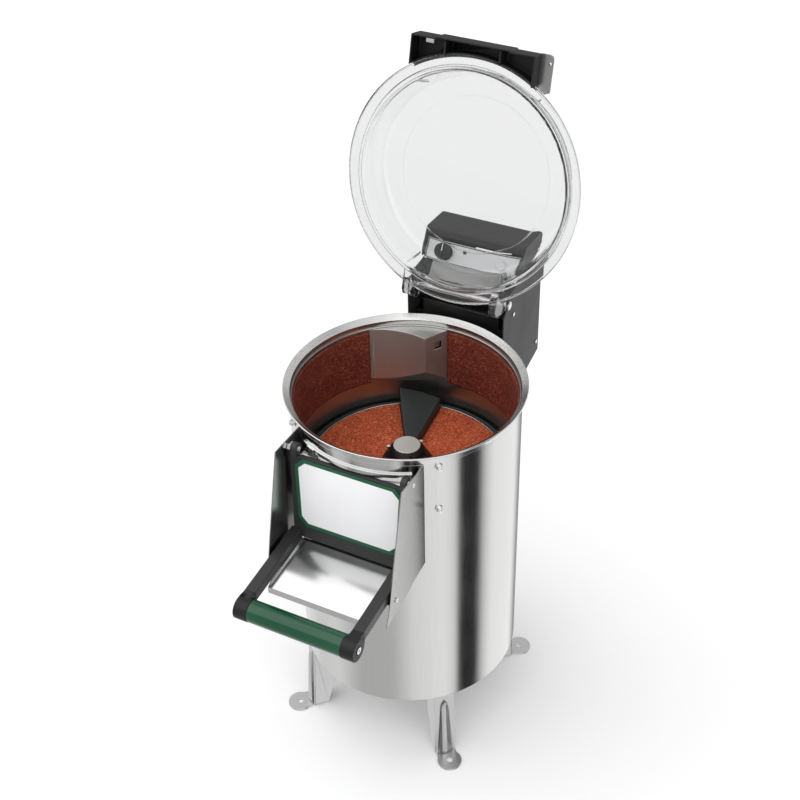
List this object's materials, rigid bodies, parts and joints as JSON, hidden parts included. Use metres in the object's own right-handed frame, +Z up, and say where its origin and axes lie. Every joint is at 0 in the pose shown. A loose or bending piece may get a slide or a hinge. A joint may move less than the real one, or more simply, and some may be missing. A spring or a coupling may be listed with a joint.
{
  "type": "electric potato peeler",
  "caption": "Commercial potato peeler: steel drum on legs with an abrasive turning plate, a clear hinged lid, a front discharge door with a bar handle, and a rear control column.",
  "frame": {"origin": "centre of the foot bolt circle on the floor, on the drum's axis", "axes": "+Z up along the drum's axis; the discharge door faces -Y, the control column is at +Y, +X is to the right of someone facing the door"},
  "size_m": [0.365, 0.6771, 1.0533],
  "materials": {
    "steel_sheet": "vertically brushed, satin",
    "steel_polished": "bright polished",
    "steel_matt": "matt sheet",
    "fastener": "bright plated",
    "black_plastic": "fine moulded texture",
    "grey_plastic": "satin moulded",
    "charcoal_paint": "fine powder coat",
    "dark_anodised": "dark anodised",
    "grip_green": "glossy",
    "panel_white": "smooth film",
    "clear_lid": "clear moulded polycarbonate",
    "abrasive_plate": "bonded orange-red grit",
    "abrasive_wall": "bonded dark red grit",
    "rubber": "matt",
    "cast": "painted",
    "alloy": "machined",
    "shaft_steel": "ground",
    "lamp": "translucent green"
  },
  "bodies": {
    "root": {"drum_casing": "steel_sheet", "rim_collar": "steel_polished", "chamber_wall": "steel_matt", "chamber_floor": "steel_matt", "wall_liners": "abrasive_wall", "bottom_cover": "steel_matt", "water_deflector": "steel_matt", "spray_pipe": "alloy", "water_inlet_valve": "grey_plastic", "drain_pipe": "grey_plastic", "legs": "steel_sheet", "hex_bolts": "fastener", "small_screws": "fastener", "bearing_housing": "cast", "shaft_seal": "rubber", "motor_deck": "steel_matt", "motor": "cast", "outlet_frame": "steel_polished", "cheek_left": "steel_sheet", "cheek_right": "steel_sheet", "tray": "steel_sheet", "door_pivots": "fastener", "column_sides": "charcoal_paint", "column_rear_cover": "charcoal_paint", "column_bottom": "steel_matt", "column_front_wall": "black_plastic", "column_apron": "steel_matt", "hood": "grey_plastic", "control_panel": "panel_white", "timer_unit": "black_plastic", "start_switch": "steel_polished", "indicator_lamp": "lamp", "lid_switch": "black_plastic", "cable_gland": "black_plastic", "hinge_rod": "shaft_steel", "lid_stops": "rubber", "bearings": "shaft_steel", "drive_belt": "rubber"},
    "plate": {"main_shaft": "shaft_steel", "driven_pulley": "alloy", "plate_disc": "black_plastic", "hub_cone": "black_plastic", "hub_cap": "steel_polished", "hub_screws": "fastener", "plate_lifters": "black_plastic", "abrasive_sectors": "abrasive_plate"},
    "motor_rotor": {"motor_pulley": "alloy"},
    "door": {"door_frame": "dark_anodised", "door_label_plate": "panel_white", "door_gasket": "rubber", "lever_arms": "dark_anodised", "grip_elbows": "black_plastic", "grip_rod": "fastener", "grip_tube": "grip_green"},
    "lid": {"lid_dome": "clear_lid", "lid_handle": "black_plastic", "lid_striker_plate": "steel_sheet", "lid_magnet": "fastener"},
    "knob": {"knob": "black_plastic"},
    "start_button": {"start_button": "steel_polished"}
  },
  "joints": [
    {"name": "lid_hinge", "type": "hinge", "parent": "root", "child": "lid", "pos_m": [0, 0.1836, 0.6648], "axis": [1, 0, 0], "range_deg": [0, 103.8]},
    {"name": "door_hinge", "type": "hinge", "parent": "root", "child": "door", "pos_m": [0, -0.1705, 0.59], "axis": [-1, 0, 0], "range_deg": [0, 60]},
    {"name": "plate_spin", "type": "hinge", "parent": "root", "child": "plate", "pos_m": [0, 0, 0.462], "axis": [0, 0, 1], "continuous": true},
    {"name": "motor_spin", "type": "hinge", "parent": "root", "child": "motor_rotor", "pos_m": [-0.09244, -0.04311, 0.354], "axis": [0, 0, 1], "continuous": true},
    {"name": "knob_turn", "type": "hinge", "parent": "root", "child": "knob", "pos_m": [-0.047, 0.22642, 0.70268], "axis": [0, -0.8155, 0.5787], "range_deg": [-150, 150]},
    {"name": "button_press", "type": "slide", "parent": "root", "child": "start_button", "axis": [0, 0.8155, -0.5787], "range_m": [0, 0.002], "stiffness_N_per_m": 400, "springref_m": -0.001}
  ],
  "couplings": [
    {"joint": "motor_spin", "follows": "plate_spin", "ratio": 3.4444}
  ]
}
